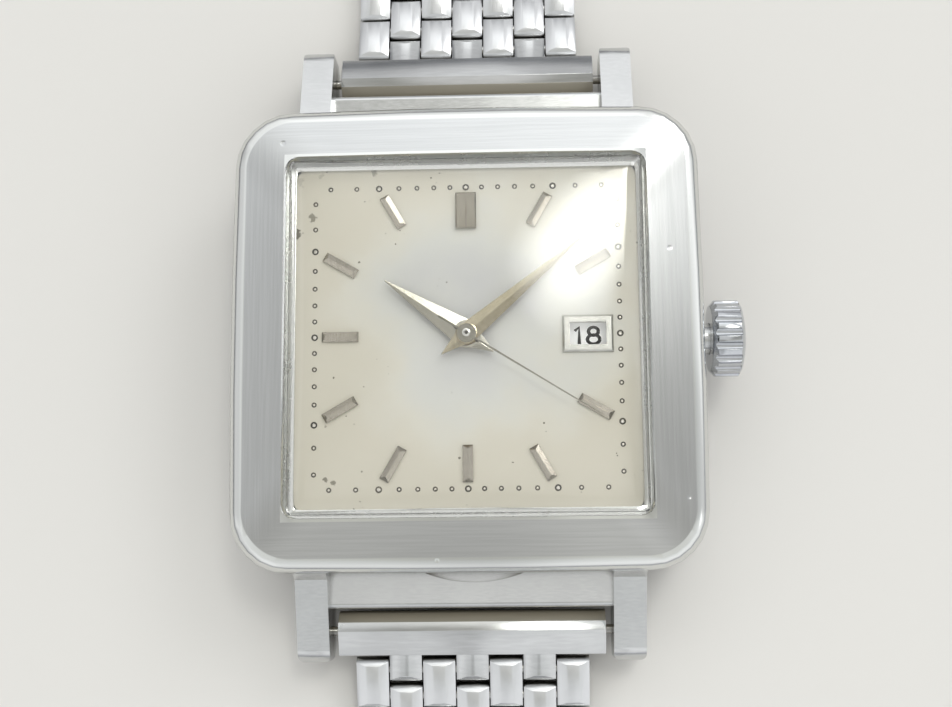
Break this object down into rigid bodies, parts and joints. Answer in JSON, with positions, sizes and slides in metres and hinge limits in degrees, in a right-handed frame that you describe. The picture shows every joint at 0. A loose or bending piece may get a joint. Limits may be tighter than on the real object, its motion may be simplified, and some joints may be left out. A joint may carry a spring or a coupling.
{
  "type": "square wristwatch",
  "caption": "Square steel automatic wristwatch with domed acrylic crystal, baton dial with date, fluted crown and an interleaved brick bracelet with ladder clasp.",
  "frame": {"origin": "hand axis, in the outer face of the case back", "axes": "+Z out of the dial, +X to the crown at three, +Y to twelve"},
  "size_m": [0.033, 0.1807, 0.0096],
  "materials": {
    "brushed_case": "brushed top, polished edges",
    "polished_case": "polished with brushed lug tops",
    "case_back_steel": "circular brushed",
    "crystal_acrylic": "clear domed acrylic",
    "gasket_rubber": "matte",
    "crown_steel": "polished flutes",
    "movement_steel": "satin",
    "movement_brass": "gilt",
    "blued_spring": "blued",
    "date_white": "matt white",
    "dial_silver": "silvered, aged to cream at its edges",
    "markers_steel": "faceted, polished",
    "minute_hand_gilt": "faceted, warm with age",
    "bracelet_steel": "polished bricks",
    "clasp_steel": "brushed"
  },
  "bodies": {
    "head": {"mid_case": "polished_case", "bezel": "brushed_case", "crystal": "crystal_acrylic", "case_back": "case_back_steel", "case_back_gasket": "gasket_rubber", "case_tube": "polished_case", "movement_ring": "movement_steel", "main_plate": "movement_brass", "train_bridge": "movement_steel", "balance_cock": "movement_steel", "hairspring": "blued_spring", "dial": "dial_silver", "date_frame": "markers_steel", "hour_markers": "markers_steel", "spring_bar_12": "movement_steel", "spring_bar_6": "movement_steel"},
    "stem": {"winding_stem": "movement_steel"},
    "crown": {"crown": "crown_steel"},
    "minute": {"center_wheel": "movement_brass", "minute_hand": "minute_hand_gilt"},
    "hour": {"hour_wheel": "movement_brass", "hour_hand": "markers_steel"},
    "seconds": {"fourth_wheel": "movement_brass", "seconds_hand": "markers_steel"},
    "third": {"third_wheel": "movement_brass"},
    "barrel": {"mainspring_barrel": "movement_brass"},
    "motion_work": {"minute_wheel": "movement_brass"},
    "escapement": {"escape_wheel": "movement_brass"},
    "fork": {"pallet_fork": "movement_steel"},
    "balance": {"balance_wheel": "movement_brass"},
    "rotor": {"rotor": "movement_brass"},
    "date": {"date_disc": "date_white"},
    "end_12": {"end_piece_12": "bracelet_steel"},
    "end_6": {"end_piece_6": "bracelet_steel"},
    "link_12_01": {"links_12_01": "bracelet_steel"},
    "link_12_02": {"links_12_02": "bracelet_steel"},
    "link_12_03": {"links_12_03": "bracelet_steel"},
    "link_12_04": {"links_12_04": "bracelet_steel"},
    "link_12_05": {"links_12_05": "bracelet_steel"},
    "link_12_06": {"links_12_06": "bracelet_steel"},
    "link_12_07": {"links_12_07": "bracelet_steel"},
    "link_12_08": {"links_12_08": "bracelet_steel"},
    "link_12_09": {"links_12_09": "bracelet_steel"},
    "link_12_10": {"links_12_10": "bracelet_steel"},
    "link_12_11": {"links_12_11": "bracelet_steel"},
    "link_6_01": {"links_6_01": "bracelet_steel"},
    "link_6_02": {"links_6_02": "bracelet_steel"},
    "link_6_03": {"links_6_03": "bracelet_steel"},
    "link_6_04": {"links_6_04": "bracelet_steel"},
    "link_6_05": {"links_6_05": "bracelet_steel"},
    "link_6_06": {"links_6_06": "bracelet_steel"},
    "link_6_07": {"links_6_07": "bracelet_steel"},
    "link_6_08": {"links_6_08": "bracelet_steel"},
    "link_6_09": {"links_6_09": "bracelet_steel"},
    "link_6_10": {"links_6_10": "bracelet_steel"},
    "link_6_11": {"links_6_11": "bracelet_steel"},
    "clasp": {"clasp_frame": "clasp_steel"},
    "cover": {"clasp_cover": "clasp_steel"},
    "hook": {"clasp_hook": "clasp_steel"}
  },
  "joints": [
    {"name": "crown_pull", "type": "slide", "parent": "head", "child": "stem", "axis": [1, 0, 0], "range_m": [0, 0.001]},
    {"name": "crown_turn", "type": "hinge", "parent": "stem", "child": "crown", "pos_m": [0.0165, 0, 0.0043], "axis": [1, 0, 0], "continuous": true},
    {"name": "minute_turn", "type": "hinge", "parent": "head", "child": "minute", "pos_m": [0, 0, 0.006], "axis": [0, 0, 1], "continuous": true},
    {"name": "hour_turn", "type": "hinge", "parent": "head", "child": "hour", "pos_m": [0, 0, 0.006], "axis": [0, 0, 1], "continuous": true},
    {"name": "seconds_turn", "type": "hinge", "parent": "head", "child": "seconds", "pos_m": [0, 0, 0.006], "axis": [0, 0, 1], "continuous": true},
    {"name": "third_turn", "type": "hinge", "parent": "head", "child": "third", "pos_m": [0, -0.0036, 0.004], "axis": [0, 0, 1], "continuous": true},
    {"name": "barrel_turn", "type": "hinge", "parent": "head", "child": "barrel", "pos_m": [-0.00358, 0.00358, 0.004], "axis": [0, 0, 1], "continuous": true},
    {"name": "minute_wheel_turn", "type": "hinge", "parent": "head", "child": "motion_work", "pos_m": [-0.00226, -0.00082, 0.006], "axis": [0, 0, 1], "continuous": true},
    {"name": "escape_turn", "type": "hinge", "parent": "head", "child": "escapement", "pos_m": [0.00342, -0.0006, 0.004], "axis": [0, 0, 1], "continuous": true},
    {"name": "fork_rock", "type": "hinge", "parent": "head", "child": "fork", "pos_m": [0.00466, -0.0026, 0.0042], "axis": [0, 0, 1], "range_deg": [-4, 4]},
    {"name": "balance_swing", "type": "hinge", "parent": "head", "child": "balance", "pos_m": [0.00539, -0.00378, 0.0033], "axis": [0, 0, 1], "range_deg": [-135, 135]},
    {"name": "rotor_turn", "type": "hinge", "parent": "head", "child": "rotor", "pos_m": [0, 0, 0.002], "axis": [0, 0, 1], "continuous": true},
    {"name": "date_turn", "type": "hinge", "parent": "head", "child": "date", "pos_m": [0, 0, 0.006], "axis": [0, 0, 1], "continuous": true},
    {"name": "end_hinge_12", "type": "hinge", "parent": "head", "child": "end_12", "pos_m": [0, 0.0186, 0.0023], "axis": [1, 0, 0], "range_deg": [-35, 25]},
    {"name": "link_hinge_12_01", "type": "hinge", "parent": "end_12", "child": "link_12_01", "pos_m": [0, 0.02105, 0.00178], "axis": [1, 0, 0], "range_deg": [-14, 12]},
    {"name": "link_hinge_12_02", "type": "hinge", "parent": "link_12_01", "child": "link_12_02", "pos_m": [0, 0.02441, 0.0008], "axis": [1, 0, 0], "range_deg": [-14, 12]},
    {"name": "link_hinge_12_03", "type": "hinge", "parent": "link_12_02", "child": "link_12_03", "pos_m": [0, 0.02791, 0.0008], "axis": [1, 0, 0], "range_deg": [-14, 12]},
    {"name": "link_hinge_12_04", "type": "hinge", "parent": "link_12_03", "child": "link_12_04", "pos_m": [0, 0.03141, 0.0008], "axis": [1, 0, 0], "range_deg": [-14, 12]},
    {"name": "link_hinge_12_05", "type": "hinge", "parent": "link_12_04", "child": "link_12_05", "pos_m": [0, 0.03491, 0.0008], "axis": [1, 0, 0], "range_deg": [-14, 12]},
    {"name": "link_hinge_12_06", "type": "hinge", "parent": "link_12_05", "child": "link_12_06", "pos_m": [0, 0.03841, 0.0008], "axis": [1, 0, 0], "range_deg": [-14, 12]},
    {"name": "link_hinge_12_07", "type": "hinge", "parent": "link_12_06", "child": "link_12_07", "pos_m": [0, 0.04191, 0.0008], "axis": [1, 0, 0], "range_deg": [-14, 12]},
    {"name": "link_hinge_12_08", "type": "hinge", "parent": "link_12_07", "child": "link_12_08", "pos_m": [0, 0.04541, 0.0008], "axis": [1, 0, 0], "range_deg": [-14, 12]},
    {"name": "link_hinge_12_09", "type": "hinge", "parent": "link_12_08", "child": "link_12_09", "pos_m": [0, 0.05241, 0.0008], "axis": [1, 0, 0], "range_deg": [-14, 12]},
    {"name": "link_hinge_12_10", "type": "hinge", "parent": "link_12_09", "child": "link_12_10", "pos_m": [0, 0.05941, 0.0008], "axis": [1, 0, 0], "range_deg": [-14, 12]},
    {"name": "link_hinge_12_11", "type": "hinge", "parent": "link_12_10", "child": "link_12_11", "pos_m": [0, 0.06641, 0.0008], "axis": [1, 0, 0], "range_deg": [-14, 12]},
    {"name": "clasp_hinge", "type": "hinge", "parent": "link_12_11", "child": "clasp", "pos_m": [0, 0.07341, 0.0008], "axis": [1, 0, 0], "range_deg": [-30, 25]},
    {"name": "end_hinge_6", "type": "hinge", "parent": "head", "child": "end_6", "pos_m": [0, -0.0186, 0.0023], "axis": [1, 0, 0], "range_deg": [-25, 35]},
    {"name": "link_hinge_6_01", "type": "hinge", "parent": "end_6", "child": "link_6_01", "pos_m": [0, -0.02105, 0.00178], "axis": [1, 0, 0], "range_deg": [-12, 14]},
    {"name": "link_hinge_6_02", "type": "hinge", "parent": "link_6_01", "child": "link_6_02", "pos_m": [0, -0.02441, 0.0008], "axis": [1, 0, 0], "range_deg": [-12, 14]},
    {"name": "link_hinge_6_03", "type": "hinge", "parent": "link_6_02", "child": "link_6_03", "pos_m": [0, -0.02791, 0.0008], "axis": [1, 0, 0], "range_deg": [-12, 14]},
    {"name": "link_hinge_6_04", "type": "hinge", "parent": "link_6_03", "child": "link_6_04", "pos_m": [0, -0.03141, 0.0008], "axis": [1, 0, 0], "range_deg": [-12, 14]},
    {"name": "link_hinge_6_05", "type": "hinge", "parent": "link_6_04", "child": "link_6_05", "pos_m": [0, -0.03491, 0.0008], "axis": [1, 0, 0], "range_deg": [-12, 14]},
    {"name": "link_hinge_6_06", "type": "hinge", "parent": "link_6_05", "child": "link_6_06", "pos_m": [0, -0.03841, 0.0008], "axis": [1, 0, 0], "range_deg": [-12, 14]},
    {"name": "link_hinge_6_07", "type": "hinge", "parent": "link_6_06", "child": "link_6_07", "pos_m": [0, -0.04191, 0.0008], "axis": [1, 0, 0], "range_deg": [-12, 14]},
    {"name": "link_hinge_6_08", "type": "hinge", "parent": "link_6_07", "child": "link_6_08", "pos_m": [0, -0.04541, 0.0008], "axis": [1, 0, 0], "range_deg": [-12, 14]},
    {"name": "link_hinge_6_09", "type": "hinge", "parent": "link_6_08", "child": "link_6_09", "pos_m": [0, -0.05241, 0.0008], "axis": [1, 0, 0], "range_deg": [-12, 14]},
    {"name": "link_hinge_6_10", "type": "hinge", "parent": "link_6_09", "child": "link_6_10", "pos_m": [0, -0.05941, 0.0008], "axis": [1, 0, 0], "range_deg": [-12, 14]},
    {"name": "link_hinge_6_11", "type": "hinge", "parent": "link_6_10", "child": "link_6_11", "pos_m": [0, -0.06641, 0.0008], "axis": [1, 0, 0], "range_deg": [-12, 14]},
    {"name": "hook_hinge", "type": "hinge", "parent": "link_6_11", "child": "hook", "pos_m": [0, -0.07341, 0.0008], "axis": [1, 0, 0], "range_deg": [-25, 30]},
    {"name": "cover_hinge", "type": "hinge", "parent": "clasp", "child": "cover", "pos_m": [0, 0.09641, 0.0019], "axis": [-1, 0, 0], "range_deg": [0, 90]}
  ],
  "couplings": [
    {"joint": "hour_turn", "follows": "minute_turn", "ratio": 0.083333},
    {"joint": "seconds_turn", "follows": "minute_turn", "ratio": 60},
    {"joint": "third_turn", "follows": "minute_turn", "ratio": -8},
    {"joint": "barrel_turn", "follows": "minute_turn", "ratio": -0.125},
    {"joint": "minute_wheel_turn", "follows": "minute_turn", "ratio": -0.33333},
    {"joint": "escape_turn", "follows": "minute_turn", "ratio": -600}
  ]
}
